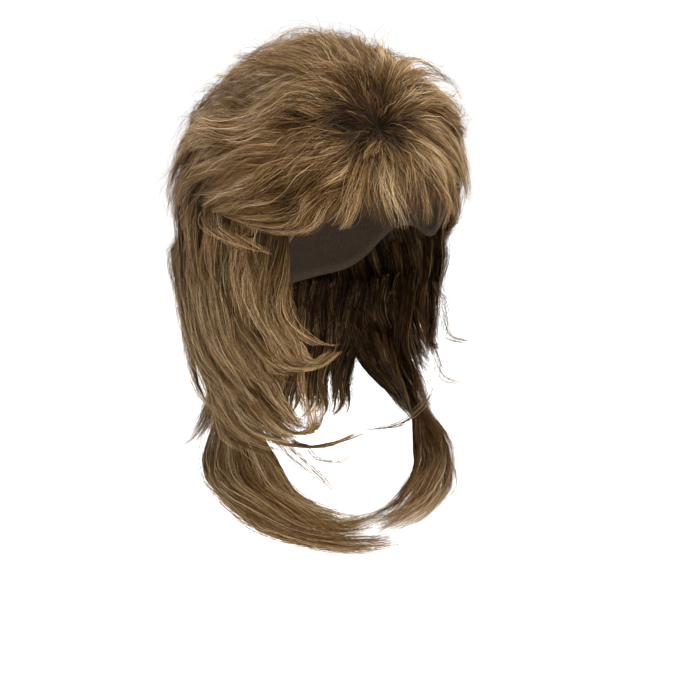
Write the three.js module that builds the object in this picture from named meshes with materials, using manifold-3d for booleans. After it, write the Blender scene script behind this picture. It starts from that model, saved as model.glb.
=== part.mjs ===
// A mullet wig: a hollow net cap that fits an adult head, and the locks of hair sewn to it.
// The hair is swept back from a whorl on top, layered at the sides and long at the nape, where
// two long sweeps come forward round the neck and meet at the throat.
// Millimetres. The origin is the inside of the cap at the top of the head. +Z is up,
// -Y is the way the wearer faces and -X is the wearer's right.
import * as THREE from "three";
import Module from "manifold-3d";

const wasm = await Module();
wasm.setup();

// The head and neck that the hair follows
const HEAD_WIDTH = 154;
const HEAD_LENGTH = 196;
const CROWN_HEIGHT = 100; // from the head's widest level up to its top
const WIG_DROP = 322; // from the top of the head down to the lowest tips

// The hair
const LOFT = 31; // how far full hair stands off the head
const LOCK_THICKNESS = 10; // of a lock at its fullest, across the hair
const TIP_THICKNESS = 3;
const BACKING = 4; // the matted roots under the locks, where they are thinnest
const FILL = 0.34; // how much thicker they are over the crown, as a share of LOFT
const RELIEF = 3.4; // how far every second lock stands above its neighbours

// The cap and the gaps between pieces
const CAP_WALL = 2;
const CAP_GAP = 1.7; // to the hair's backing, whose flat facets come nearer between their corners
const CLEARANCE = 0.4;

// A lock's form, as shares of its own size
const OVERLAP = 0.64; // its half width, of its spacing
const RIDGE = 0.45; // its top's width, of its bottom's
const ROOT_FULLNESS = 0.7;
const TIP_FULLNESS = 0.22;
const SWELL_END = 0.3; // where it is full, along it
const TAPER_START = 0.6;
const LENGTH_STEP = 0.09; // how much shorter than its neighbour it can be
const LENGTH_CYCLE = 3; // locks in a run of lengths
const SLANT = 3; // how much further a grown lock's lower corners move out, to clear its slopes too

// Facets
const DOME_COLUMNS = 28;
const DOME_ROWS = 5;
const LOCK_STEPS = 5;
const SWEEP_STEPS = 7;
const CURVE_STEP = 1e-3; // for slopes, as a share of a lock's length

const LOWER_DROP = WIG_DROP - CROWN_HEIGHT;
const HAIR_START = CAP_WALL + CAP_GAP;
const LOCK_START = HAIR_START + BACKING / 4; // no lock's underside comes nearer to the skin

const { clamp, degToRad, lerp, radToDeg, smoothstep } = THREE.MathUtils;

// Sections of the head and neck below the widest level. share: of the way down to the lowest tips.
// width: half, as a share of HEAD_WIDTH. length: half, and back: the centre's shift towards the
// nape, both as shares of HEAD_LENGTH.
const NECK_SECTIONS = [
  { share: 0.0, width: 0.5, length: 0.5, back: 0.0 },
  { share: 0.18, width: 0.49, length: 0.475, back: 0.01 },
  { share: 0.36, width: 0.44, length: 0.4, back: 0.04 },
  { share: 0.54, width: 0.41, length: 0.345, back: 0.06 },
  { share: 0.72, width: 0.42, length: 0.34, back: 0.055 },
  { share: 0.88, width: 0.49, length: 0.37, back: 0.03 },
  { share: 1.0, width: 0.55, length: 0.4, back: 0.0 },
];

// The cap's rim and the lower edge of the crown's backing. turn: degrees round from the face.
// drop: how far down, as a share of WIG_DROP.
const CAP_RIM = [
  { turn: 0, drop: 0.165 },
  { turn: 40, drop: 0.185 },
  { turn: 58, drop: 0.3 },
  { turn: 68, drop: 0.4 },
  { turn: 80, drop: 0.36 },
  { turn: 98, drop: 0.36 },
  { turn: 118, drop: 0.47 },
  { turn: 180, drop: 0.54 },
];
const CROWN_RIM = [
  { turn: 0, drop: 0.085 },
  { turn: 45, drop: 0.1 },
  { turn: 75, drop: 0.2 },
  { turn: 110, drop: 0.25 },
  { turn: 180, drop: 0.27 },
];

// The whorl that the top hair grows away from: just right of the middle, above the forehead.
const WHORL = { turn: 17, drop: 0.118 };

// A column of a table at a value of its first column, with straight steps between the rows.
function lookUp(rows, key, value, column) {
  const i = clamp(rows.findIndex((row) => row[key] >= value), 1, rows.length - 1);
  const share = (value - rows[i - 1][key]) / (rows[i][key] - rows[i - 1][key]);
  return lerp(rows[i - 1][column], rows[i][column], share);
}

// A rim's drop at a turn: the same on both sides of the head, with eased steps between the rows.
function rimDrop(rim, turn) {
  const wrapped = Math.abs(((turn + 540) % 360) - 180);
  const i = Math.max(1, rim.findIndex((row) => row.turn >= wrapped));
  const share = (wrapped - rim[i - 1].turn) / (rim[i].turn - rim[i - 1].turn);
  return lerp(rim[i - 1].drop, rim[i].drop, smoothstep(share, 0, 1));
}

// Half width, half length and backward shift of the head or neck at a depth below its top.
function sectionAt(depth) {
  if (depth < CROWN_HEIGHT) {
    const round = Math.sqrt(1 - (1 - depth / CROWN_HEIGHT) ** 2);
    return { width: HEAD_WIDTH / 2 * round, length: HEAD_LENGTH / 2 * round, back: 0 };
  }
  const share = Math.min(1, (depth - CROWN_HEIGHT) / LOWER_DROP);
  return {
    width: HEAD_WIDTH * lookUp(NECK_SECTIONS, "share", share, "width"),
    length: HEAD_LENGTH * lookUp(NECK_SECTIONS, "share", share, "length"),
    back: HEAD_LENGTH * lookUp(NECK_SECTIONS, "share", share, "back"),
  };
}

// A point over the head or neck: turn round from the face, depth below the top, lift off the skin.
function overHead(turn, depth, lift) {
  const s = sectionAt(depth);
  const x = -s.width * Math.sin(degToRad(turn));
  const y = -s.length * Math.cos(degToRad(turn));
  const out = depth < CROWN_HEIGHT
    ? new THREE.Vector3(
      x / (HEAD_WIDTH / 2) ** 2, y / (HEAD_LENGTH / 2) ** 2, (CROWN_HEIGHT - depth) / CROWN_HEIGHT ** 2)
    : new THREE.Vector3(x / s.width ** 2, y / s.length ** 2, 0);
  return new THREE.Vector3(x, y + s.back, -depth).addScaledVector(out.normalize(), lift);
}

// Depth for an angle down from the top, which goes on past the widest level at the same rate.
function depthAtAngle(angle) {
  return angle < Math.PI / 2
    ? CROWN_HEIGHT * (1 - Math.cos(angle))
    : CROWN_HEIGHT * (1 + angle - Math.PI / 2);
}

function angleAtDepth(depth) {
  return depth < CROWN_HEIGHT
    ? Math.acos(1 - depth / CROWN_HEIGHT)
    : Math.PI / 2 + depth / CROWN_HEIGHT - 1;
}

// A point near the whorl: bearing round it (0 to the face, 90 to the right ear, 180 over the top),
// reach from it over the head, and lift off the skin.
function fromWhorl(bearing, reach, lift) {
  const tilt = angleAtDepth(WHORL.drop * WIG_DROP);
  const turn = degToRad(WHORL.turn);
  const up = new THREE.Vector3(
    -Math.sin(turn) * Math.sin(tilt), -Math.cos(turn) * Math.sin(tilt), Math.cos(tilt));
  const down = new THREE.Vector3(
    -Math.sin(turn) * Math.cos(tilt), -Math.cos(turn) * Math.cos(tilt), -Math.sin(tilt));
  const right = new THREE.Vector3().crossVectors(down, up);
  const away = reach / ((HEAD_WIDTH + HEAD_LENGTH) / 8 + CROWN_HEIGHT / 2);
  const towards = up.multiplyScalar(Math.cos(away))
    .addScaledVector(down, Math.sin(away) * Math.cos(degToRad(bearing)))
    .addScaledVector(right, Math.sin(away) * Math.sin(degToRad(bearing)));
  const headTurn = radToDeg(Math.atan2(-towards.x, -towards.y));
  return overHead(headTurn, depthAtAngle(Math.acos(towards.z)), lift);
}

// A sheet of hair: a row of locks between two edge locks, whose rows run from the root to the tip.
// Around the whorl, a row is bearing in degrees, reach as a share of HEAD_LENGTH, lift of LOFT.
// Around the head, it is turn in degrees, drop as a share of WIG_DROP, lift of LOFT.
function sheet(around, locks, steps, from, to) {
  const edge = (rows) => new THREE.CatmullRomCurve3(
    rows.map((row) => new THREE.Vector3(...row)), false, "catmullrom");
  return { around, locks, steps, from: edge(from), to: edge(to) };
}

const CROWN_SHEETS = [
  // The front row, combed back from the whorl
  sheet("whorl", 5, LOCK_STEPS,
    [[84, 0.05, 0.2], [90, 0.17, 0.6], [95, 0.29, 0.72], [98, 0.4, 0.75], [99, 0.47, 0.65]],
    [[262, 0.05, 0.2], [262, 0.17, 0.6], [261, 0.29, 0.72], [260, 0.4, 0.72], [259, 0.47, 0.62]]),
  // The middle row, over the top of the head
  sheet("whorl", 5, LOCK_STEPS,
    [[100, 0.24, 0.35], [105, 0.38, 0.75], [110, 0.5, 0.92], [112, 0.6, 0.95], [112, 0.7, 0.9]],
    [[256, 0.24, 0.35], [252, 0.38, 0.75], [248, 0.5, 0.92], [246, 0.6, 0.92], [245, 0.7, 0.86]]),
  // The back row, down the back of the crown
  sheet("whorl", 5, LOCK_STEPS,
    [[118, 0.48, 0.35], [121, 0.6, 0.7], [122, 0.72, 0.92], [121, 0.84, 0.95], [117, 0.94, 1.02]],
    [[240, 0.48, 0.35], [238, 0.6, 0.7], [237, 0.72, 0.92], [238, 0.84, 0.95], [241, 0.94, 1.02]]),
  // The lowest row, round the sides and back
  sheet("head", 7, LOCK_STEPS,
    [[82, 0.1, 0.4], [92, 0.17, 0.75], [101, 0.24, 0.92], [109, 0.31, 0.95], [116, 0.37, 1.02]],
    [[278, 0.1, 0.4], [268, 0.17, 0.75], [259, 0.24, 0.92], [251, 0.31, 0.95], [244, 0.37, 1.02]]),
];
const FRINGE_SHEETS = [
  sheet("whorl", 6, LOCK_STEPS,
    [[-98, 0.06, 0.18], [-92, 0.2, 0.48], [-82, 0.32, 0.55], [-73, 0.42, 0.42], [-66, 0.48, 0.3]],
    [[52, 0.06, 0.18], [44, 0.14, 0.32], [34, 0.21, 0.36], [25, 0.28, 0.28], [17, 0.34, 0.18]]),
];
const RIGHT_WAVE_SHEETS = [
  sheet("whorl", 5, LOCK_STEPS,
    [[42, 0.14, 0.25], [38, 0.255, 0.36], [42, 0.38, 0.44], [50, 0.51, 0.52], [63, 0.62, 0.52]],
    [[78, 0.1, 0.3], [84, 0.26, 0.6], [90, 0.43, 0.74], [95, 0.6, 0.86], [98, 0.75, 0.8]]),
];
const LEFT_WAVE_SHEETS = [
  sheet("head", 5, LOCK_STEPS,
    [[-46, 0.22, 0.2], [-58, 0.26, 0.44], [-70, 0.31, 0.52], [-82, 0.36, 0.58], [-95, 0.41, 0.5]],
    [[-42, 0.1, 0.35], [-60, 0.12, 0.6], [-80, 0.17, 0.74], [-100, 0.24, 0.84], [-116, 0.32, 0.8]]),
];
const SIDE_LAYER_SHEETS = [
  // The short layer, whose tips flick forward over the cheek
  sheet("head", 4, LOCK_STEPS,
    [[134, 0.28, 0.5], [132, 0.43, 0.92], [125, 0.58, 0.86], [109, 0.7, 0.72], [88, 0.765, 0.7]],
    [[66, 0.32, 0.3], [67, 0.42, 0.42], [63, 0.53, 0.42], [52, 0.6, 0.45], [37, 0.61, 0.5]]),
  // The longer layer under it, which ends along the jaw
  sheet("head", 3, LOCK_STEPS,
    [[118, 0.5, 0.35], [119, 0.6, 0.6], [111, 0.7, 0.64], [90, 0.79, 0.62], [62, 0.83, 0.6]],
    [[82, 0.46, 0.2], [80, 0.55, 0.3], [71, 0.66, 0.36], [56, 0.73, 0.4], [38, 0.76, 0.42]]),
];
const BACK_SHEETS = [
  sheet("head", 5, LOCK_STEPS,
    [[138, 0.27, 0.45], [139, 0.4, 0.92], [140, 0.52, 0.95], [141, 0.62, 0.86], [142, 0.69, 0.98]],
    [[222, 0.27, 0.45], [221, 0.4, 0.92], [220, 0.52, 0.95], [219, 0.62, 0.86], [218, 0.69, 0.98]]),
];
const NAPE_SHEETS = [
  sheet("head", 6, LOCK_STEPS,
    [[114, 0.5, 0.2], [119, 0.62, 0.36], [124, 0.73, 0.5], [129, 0.81, 0.76], [133, 0.86, 1.2]],
    [[246, 0.5, 0.2], [241, 0.62, 0.36], [236, 0.73, 0.5], [231, 0.81, 0.76], [227, 0.86, 1.2]]),
];
const RIGHT_SWEEP_SHEETS = [
  sheet("head", 4, SWEEP_STEPS,
    [[92, 0.6, 0.1], [86, 0.7, 0.14], [74, 0.81, 0.28], [56, 0.885, 0.42], [33, 0.945, 0.45],
      [4, 0.93, 0.42]],
    [[124, 0.64, 0.2], [121, 0.78, 0.56], [103, 0.88, 0.8], [72, 0.945, 0.8], [38, 0.985, 0.7],
      [4, 0.99, 0.6]]),
];
const LEFT_SWEEP_SHEETS = [
  sheet("head", 4, SWEEP_STEPS,
    [[-90, 0.62, 0.1], [-72, 0.72, 0.14], [-47, 0.8, 0.2], [-22, 0.865, 0.34], [2, 0.92, 0.44],
      [18, 0.945, 0.5]],
    [[-124, 0.62, 0.2], [-105, 0.72, 0.66], [-76, 0.81, 0.92], [-45, 0.895, 0.9], [-14, 0.955, 0.76],
      [12, 0.99, 0.68]]),
];

// The same sheet on the other side of the head.
function mirrored(side) {
  const rows = (edge) => edge.points.map(({ x, y, z }) => [-x, y, z]);
  return sheet(side.around, side.locks, side.steps, rows(side.from), rows(side.to));
}

// Where a sheet is: across it from one edge lock to the other, along it from root to tip.
function sheetPlace({ from, to }, across, along) {
  const { x, y, z } = from.getPoint(clamp(along, 0, 1)).lerp(to.getPoint(clamp(along, 0, 1)), across);
  return { angle: x, distance: y, lift: z * LOFT };
}

// A point of a sheet, or one over or under it.
function onSheet(of, across, along, extraLift) {
  const { angle, distance, lift } = sheetPlace(of, across, along);
  return of.around === "whorl"
    ? fromWhorl(angle, distance * HEAD_LENGTH, lift + extraLift)
    : overHead(angle, distance * WIG_DROP, lift + extraLift);
}

// A closed mesh as a solid, whichever way round its triangles were listed.
function solidOf(points, index) {
  const geometry = new THREE.BufferGeometry().setFromPoints(points);
  const make = (triVerts) => new wasm.Manifold(new wasm.Mesh({
    numProp: 3,
    vertProperties: geometry.getAttribute("position").array,
    triVerts: Uint32Array.from(triVerts),
  }));
  const solid = make(index);
  return solid.volume() > 0 ? solid : make(index.reverse());
}

// A solid of rings with the same even number of points, half of them along each face. Its end
// faces join each point of one face to the point over it on the other.
function solidOfRings(rings) {
  const sides = rings[0].length;
  const index = [];
  for (let r = 0; r < rings.length - 1; r += 1) {
    for (let k = 0; k < sides; k += 1) {
      const [a, b] = [r * sides + k, r * sides + (k + 1) % sides];
      index.push(a, b, b + sides, a, b + sides, a + sides);
    }
  }
  const end = (rings.length - 1) * sides;
  for (let k = 0; k < sides / 2 - 1; k += 1) {
    const [a, b, c, d] = [k, k + 1, sides - 1 - k, sides - 2 - k];
    index.push(a, d, b, a, c, d);
    index.push(end + a, end + b, end + d, end + a, end + d, end + c);
  }
  return solidOf(rings.flat(), index);
}

// How full a lock is along its length: it swells out of its root and thins to its tip.
function fullness(along) {
  const root = lerp(ROOT_FULLNESS, 1, smoothstep(along, 0, SWELL_END));
  return root * lerp(1, TIP_FULLNESS, smoothstep(along, TAPER_START, 1));
}

// One lock of a sheet: a ridged four-sided body swept from root to tip. grow makes it larger all
// round, to cut the hair over it clear of it.
function lock(of, number, grow) {
  const across = (number + 0.5) / of.locks;
  const raised = number % 2 ? RELIEF : 0;
  const length = 1 - LENGTH_STEP * ((number * 2) % LENGTH_CYCLE);
  const rings = [];
  for (let i = 0; i <= of.steps; i += 1) {
    const along = length * i / of.steps;
    const here = onSheet(of, across, along, raised);
    const forward = onSheet(of, across, along + CURVE_STEP, raised)
      .sub(onSheet(of, across, along - CURVE_STEP, raised)).normalize();
    const out = onSheet(of, across, along, raised + 1).sub(here);
    const side = new THREE.Vector3().crossVectors(forward, out).normalize();
    out.crossVectors(side, forward).normalize();
    const full = fullness(i / of.steps);
    const spacing = onSheet(of, 0, along, 0).distanceTo(onSheet(of, 1, along, 0)) / of.locks;
    const halfWidth = Math.max(TIP_THICKNESS, OVERLAP * spacing * full) + SLANT * grow;
    const halfThickness = Math.max(TIP_THICKNESS, LOCK_THICKNESS * full) / 2;
    const room = sheetPlace(of, across, along).lift + raised - LOCK_START;
    const over = halfThickness + grow;
    const under = Math.min(halfThickness, room) + grow;
    if (i === 0) here.addScaledVector(forward, -grow);
    if (i === of.steps) here.addScaledVector(forward, grow);
    const ridge = RIDGE * halfWidth;
    const corners = [[halfWidth, -under], [ridge, over], [-ridge, over], [-halfWidth, -under]];
    rings.push(corners.map(([aside, up]) => (
      here.clone().addScaledVector(side, aside).addScaledVector(out, up))));
  }
  return solidOfRings(rings);
}

function locksOf(sheets, grow) {
  return sheets.flatMap((of) => Array.from({ length: of.locks }, (_, number) => lock(of, number, grow)));
}

// Where the matted roots thicken away from the whorl, as shares of HEAD_LENGTH, and where they
// thin again towards the nape, as shares of WIG_DROP.
const THICKENING = [0.1, 0.45];
const THINNING = [0.34, 0.55];

// How far out the matted roots reach: least at the whorl, most over the crown, less at the nape.
function rootLift(turn, depth) {
  const reach = overHead(turn, depth, 0).distanceTo(overHead(WHORL.turn, WHORL.drop * WIG_DROP, 0));
  const overCrown = smoothstep(reach / HEAD_LENGTH, ...THICKENING);
  const aboveNape = 1 - smoothstep(depth / WIG_DROP, ...THINNING);
  return HAIR_START + BACKING + FILL * LOFT * overCrown * aboveNape;
}

// A dome over the head from its top down to a rim. inner and outer give the lift off the skin.
function dome(rim, inner, outer) {
  const apexes = [inner, outer].map((lift) => overHead(0, 0, lift(0, 0)));
  const points = [...apexes];
  for (const lift of [inner, outer]) {
    for (let row = 1; row <= DOME_ROWS; row += 1) {
      for (let column = 0; column < DOME_COLUMNS; column += 1) {
        const turn = 360 * column / DOME_COLUMNS;
        const depth = depthAtAngle(angleAtDepth(rimDrop(rim, turn) * WIG_DROP) * row / DOME_ROWS);
        points.push(overHead(turn, depth, lift(turn, depth)));
      }
    }
  }
  const at = (layer, row, column) => apexes.length
    + (layer * DOME_ROWS + row - 1) * DOME_COLUMNS + column % DOME_COLUMNS;
  const index = [];
  for (let c = 0; c < DOME_COLUMNS; c += 1) {
    index.push(0, at(0, 1, c), at(0, 1, c + 1), 1, at(1, 1, c + 1), at(1, 1, c));
    for (let r = 1; r < DOME_ROWS; r += 1) {
      index.push(at(0, r, c), at(0, r + 1, c), at(0, r + 1, c + 1));
      index.push(at(0, r, c), at(0, r + 1, c + 1), at(0, r, c + 1));
      index.push(at(1, r, c), at(1, r + 1, c + 1), at(1, r + 1, c));
      index.push(at(1, r, c), at(1, r, c + 1), at(1, r + 1, c + 1));
    }
    index.push(at(0, DOME_ROWS, c), at(1, DOME_ROWS, c), at(1, DOME_ROWS, c + 1));
    index.push(at(0, DOME_ROWS, c), at(1, DOME_ROWS, c + 1), at(0, DOME_ROWS, c + 1));
  }
  return solidOf(points, index);
}

// A curved panel over the head or neck. turns: its two sides. top and bottom: drop at a turn.
// inner and outer: lift off the skin.
function panel({ turns, top, bottom, inner, outer, columns, rows }, grow) {
  const sideGrow = radToDeg(grow / (HEAD_WIDTH / 2));
  const rings = [];
  for (let c = 0; c <= columns; c += 1) {
    const turn = lerp(turns[0] - sideGrow, turns[1] + sideGrow, c / columns);
    const [high, low] = [top(turn) * WIG_DROP - grow, bottom(turn) * WIG_DROP + grow];
    const depths = Array.from({ length: rows + 1 }, (_, row) => lerp(high, low, row / rows));
    rings.push([
      ...depths.map((depth) => overHead(turn, depth, inner(turn, depth) - grow)),
      ...depths.reverse().map((depth) => overHead(turn, depth, outer(turn, depth) + grow)),
    ]);
  }
  return solidOfRings(rings);
}

const always = (value) => () => value;

// Where one backing panel ends and the next one starts. Drops are shares of WIG_DROP.
const DROP_GAP = 0.012;
const TURN_GAP = 1;
const TEMPLE_TURN = 59; // from the fringe to the side waves
const EAR_TURN = 73; // the front edge of the side layers
const BACK_TURN = 134; // from the side layers to the back layers
const NAPE_TURN = 111.5; // from the neck sweeps to the nape
const EAR_DROP = 0.352; // from the side waves to the side layers
const NAPE_DROP = 0.54; // from the cap to the nape
const NAPE_FLARE = 1.3; // how far the nape's roots lean out, of LOFT for each share of WIG_DROP

const underCrown = (turn) => rimDrop(CROWN_RIM, turn) + DROP_GAP;

// Below the cap the matted roots lean out from the skin. layer: 0 for their inside, 2 their outside.
function napeLift(layer) {
  return (turn, depth) => HAIR_START + BACKING * layer
    + NAPE_FLARE * LOFT * (depth / WIG_DROP - NAPE_DROP);
}

const FRINGE_PANEL = {
  turns: [TURN_GAP - TEMPLE_TURN, TEMPLE_TURN - TURN_GAP], top: underCrown, bottom: always(0.17),
  inner: always(HAIR_START), outer: rootLift, columns: 10, rows: 2,
};
const SIDE_PANEL = {
  turns: [TEMPLE_TURN + TURN_GAP, 116], top: underCrown, bottom: always(EAR_DROP - DROP_GAP / 2),
  inner: always(HAIR_START), outer: rootLift, columns: 6, rows: 3,
};
const LAYER_PANEL = {
  turns: [EAR_TURN, BACK_TURN - TURN_GAP], top: always(EAR_DROP + DROP_GAP / 2), bottom: always(0.56),
  inner: always(HAIR_START), outer: rootLift, columns: 6, rows: 3,
};
const BACK_PANEL = {
  turns: [BACK_TURN + TURN_GAP, 360 - BACK_TURN - TURN_GAP], top: underCrown, bottom: always(0.52),
  inner: always(HAIR_START), outer: rootLift, columns: 8, rows: 4,
};
const NAPE_PANEL = {
  turns: [NAPE_TURN + TURN_GAP / 2, 360 - NAPE_TURN - TURN_GAP / 2], top: always(NAPE_DROP),
  bottom: always(0.74), inner: napeLift(0), outer: napeLift(2), columns: 10, rows: 3,
};
const SWEEP_PANEL = {
  turns: [82, NAPE_TURN - TURN_GAP / 2], top: always(0.58),
  bottom: always(0.78), inner: napeLift(0), outer: napeLift(2), columns: 4, rows: 3,
};

function otherSide(backing) {
  return { ...backing, turns: [-backing.turns[1], -backing.turns[0]] };
}

// The hair's pieces, from the innermost out. backing: a panel, or else the crown's dome.
const HAIR_PIECES = [
  { name: "nape_fall", sheets: NAPE_SHEETS, backing: NAPE_PANEL },
  { name: "neck_sweep_right", sheets: RIGHT_SWEEP_SHEETS, backing: SWEEP_PANEL },
  { name: "neck_sweep_left", sheets: LEFT_SWEEP_SHEETS, backing: otherSide(SWEEP_PANEL) },
  { name: "side_layers_right", sheets: SIDE_LAYER_SHEETS, backing: LAYER_PANEL },
  { name: "side_layers_left", sheets: SIDE_LAYER_SHEETS.map(mirrored), backing: otherSide(LAYER_PANEL) },
  { name: "back_layers", sheets: BACK_SHEETS, backing: BACK_PANEL },
  { name: "side_waves_right", sheets: RIGHT_WAVE_SHEETS, backing: SIDE_PANEL },
  { name: "side_waves_left", sheets: LEFT_WAVE_SHEETS, backing: otherSide(SIDE_PANEL) },
  { name: "fringe", sheets: FRINGE_SHEETS, backing: FRINGE_PANEL },
  { name: "crown_waves", sheets: CROWN_SHEETS },
];

function hairSolid({ sheets, backing }, grow) {
  const roots = backing
    ? panel(backing, grow)
    : dome(CROWN_RIM, always(HAIR_START - grow), (turn, depth) => rootLift(turn, depth) + grow);
  return locksOf(sheets, grow).reduce((solid, next) => solid.add(next), roots);
}

// Cuts can leave a thin offcut behind. The piece is its largest body.
function mainBody(solid) {
  return solid.decompose().sort((a, b) => b.volume() - a.volume())[0];
}

function meshOf(solid, name, material) {
  const { numProp, vertProperties, triVerts } = solid.getMesh();
  const geometry = new THREE.BufferGeometry();
  geometry.setAttribute("position", new THREE.BufferAttribute(vertProperties, numProp));
  geometry.setIndex(new THREE.BufferAttribute(triVerts, 1));
  geometry.computeVertexNormals();
  const mesh = new THREE.Mesh(geometry, material);
  mesh.name = name;
  return mesh;
}

const wig = new THREE.Group();
const netMaterial = new THREE.MeshStandardMaterial({ color: 0x5a4636, roughness: 0.9, metalness: 0 });
wig.add(meshOf(dome(CAP_RIM, always(0), always(CAP_WALL)), "cap", netMaterial));

// Each piece is cut clear of those that lie under it.
const placed = [];
for (const piece of HAIR_PIECES) {
  const solid = placed.reduce((rest, inner) => rest.subtract(inner), hairSolid(piece, 0));
  const hairMaterial = new THREE.MeshStandardMaterial({ color: 0x8a7055, roughness: 0.55, metalness: 0 });
  wig.add(meshOf(mainBody(solid), piece.name, hairMaterial));
  placed.push(hairSolid(piece, CLEARANCE));
}

export default wig;
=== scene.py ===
"""The looks of a mullet wig: strands of hair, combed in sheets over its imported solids, on a net cap.

Metres. The origin is the inside of the cap at the top of the head. +Z is up, -Y is the way the
wearer faces and -X is the wearer's right.
"""

import math

import bpy
import numpy as np
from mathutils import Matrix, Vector


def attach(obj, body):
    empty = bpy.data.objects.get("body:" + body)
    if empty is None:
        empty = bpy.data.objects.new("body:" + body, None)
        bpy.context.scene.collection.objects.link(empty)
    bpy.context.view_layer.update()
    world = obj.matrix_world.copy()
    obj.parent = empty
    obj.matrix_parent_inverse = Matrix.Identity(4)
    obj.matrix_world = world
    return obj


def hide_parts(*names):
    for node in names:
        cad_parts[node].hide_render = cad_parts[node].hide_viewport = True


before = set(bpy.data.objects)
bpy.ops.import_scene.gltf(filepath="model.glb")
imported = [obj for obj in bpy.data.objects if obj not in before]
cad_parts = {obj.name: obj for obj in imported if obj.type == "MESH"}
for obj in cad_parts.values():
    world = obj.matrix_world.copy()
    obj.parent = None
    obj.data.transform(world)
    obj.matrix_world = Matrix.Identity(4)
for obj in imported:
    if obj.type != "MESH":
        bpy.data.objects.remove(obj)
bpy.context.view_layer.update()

MM = 0.001

# The head and neck that the hair follows
HEAD_WIDTH = 154 * MM
HEAD_LENGTH = 196 * MM
CROWN_HEIGHT = 100 * MM
WIG_DROP = 322 * MM
LOWER_DROP = WIG_DROP - CROWN_HEIGHT
LOFT = 31 * MM
CAP_WALL = 2 * MM
SCALP = CAP_WALL + 1 * MM  # where strands are rooted

# Share of the way down to the lowest tips; half width, half length and backward shift there
NECK_SECTIONS = np.array([
    [0.0, 0.5, 0.5, 0.0],
    [0.18, 0.49, 0.475, 0.01],
    [0.36, 0.44, 0.4, 0.04],
    [0.54, 0.41, 0.345, 0.06],
    [0.72, 0.42, 0.34, 0.055],
    [0.88, 0.49, 0.37, 0.03],
    [1.0, 0.55, 0.4, 0.0],
])

# Turn round from the face, drop down the head
CAP_RIM = np.array([
    [0, 0.165], [40, 0.185], [58, 0.3], [68, 0.4], [80, 0.36], [98, 0.36], [118, 0.47], [180, 0.54],
])
RIM_ROUNDING = 2  # columns of the cap to each side that its rim is averaged over
WHORL_TURN = 17
WHORL_DROP = 0.118


def smoothstep(x, start=0.0, end=1.0):
    share = np.clip((x - start) / (end - start), 0, 1)
    return share * share * (3 - 2 * share)


def unit(vectors):
    return vectors / np.maximum(np.linalg.norm(vectors, axis=-1, keepdims=True), 1e-9)


def over_head(turn, depth, lift):
    """A point over the head or neck: turn round from the face, depth below the top, lift off the skin."""
    turn, depth, lift = np.broadcast_arrays(turn, depth, lift)
    rise = np.clip(1 - depth / CROWN_HEIGHT, 0, 1)
    dome = np.sqrt(1 - rise**2)
    share = np.clip((depth - CROWN_HEIGHT) / LOWER_DROP, 0, 1)
    width, length, back = [np.interp(share, NECK_SECTIONS[:, 0], NECK_SECTIONS[:, k]) for k in (1, 2, 3)]
    above = depth < CROWN_HEIGHT
    half_width = HEAD_WIDTH * np.where(above, dome / 2, width)
    half_length = HEAD_LENGTH * np.where(above, dome / 2, length)
    x = -half_width * np.sin(np.radians(turn))
    y = -half_length * np.cos(np.radians(turn))
    across = np.where(above, HEAD_WIDTH / 2, half_width)
    deep = np.where(above, HEAD_LENGTH / 2, half_length)
    out = unit(np.stack([x / across**2, y / deep**2, rise / CROWN_HEIGHT], -1))
    return np.stack([x, y + HEAD_LENGTH * back, -depth], -1) + out * lift[..., None]


def depth_at_angle(angle):
    return CROWN_HEIGHT * np.where(angle < np.pi / 2, 1 - np.cos(angle), 1 + angle - np.pi / 2)


def angle_at_depth(depth):
    return np.where(
        depth < CROWN_HEIGHT,
        np.arccos(np.clip(1 - depth / CROWN_HEIGHT, -1, 1)),
        np.pi / 2 + depth / CROWN_HEIGHT - 1,
    )


def from_whorl(bearing, reach, lift):
    """A point near the whorl: bearing round it, reach from it over the head, lift off the skin."""
    tilt = float(angle_at_depth(np.array(WHORL_DROP * WIG_DROP)))
    turn = math.radians(WHORL_TURN)
    up = np.array([-math.sin(turn) * math.sin(tilt), -math.cos(turn) * math.sin(tilt), math.cos(tilt)])
    down = np.array([-math.sin(turn) * math.cos(tilt), -math.cos(turn) * math.cos(tilt), -math.sin(tilt)])
    right = np.cross(down, up)
    away = (reach / ((HEAD_WIDTH + HEAD_LENGTH) / 8 + CROWN_HEIGHT / 2))[..., None]
    angle = np.radians(bearing)[..., None]
    towards = up * np.cos(away) + np.sin(away) * (down * np.cos(angle) + right * np.sin(angle))
    head_turn = np.degrees(np.arctan2(-towards[..., 0], -towards[..., 1]))
    head_angle = np.arccos(np.clip(towards[..., 2], -1, 1))
    return over_head(head_turn, depth_at_angle(head_angle), lift)


def along_curve(rows, share):
    """Points at shares of the way along a Catmull-Rom curve through the rows."""
    padded = np.vstack([2 * rows[0] - rows[1], rows, 2 * rows[-1] - rows[-2]])
    at = np.clip(share, 0, 1) * (len(rows) - 1)
    first = np.minimum(at.astype(int), len(rows) - 2)
    f = (at - first)[..., None]
    a, b, c, d = [padded[first + k] for k in range(4)]
    return (2 * b + (c - a) * f + (2 * a - 5 * b + 4 * c - d) * f**2 + (3 * b - a - 3 * c + d) * f**3) / 2


LEAST_BREADTH = 5 * MM


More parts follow.
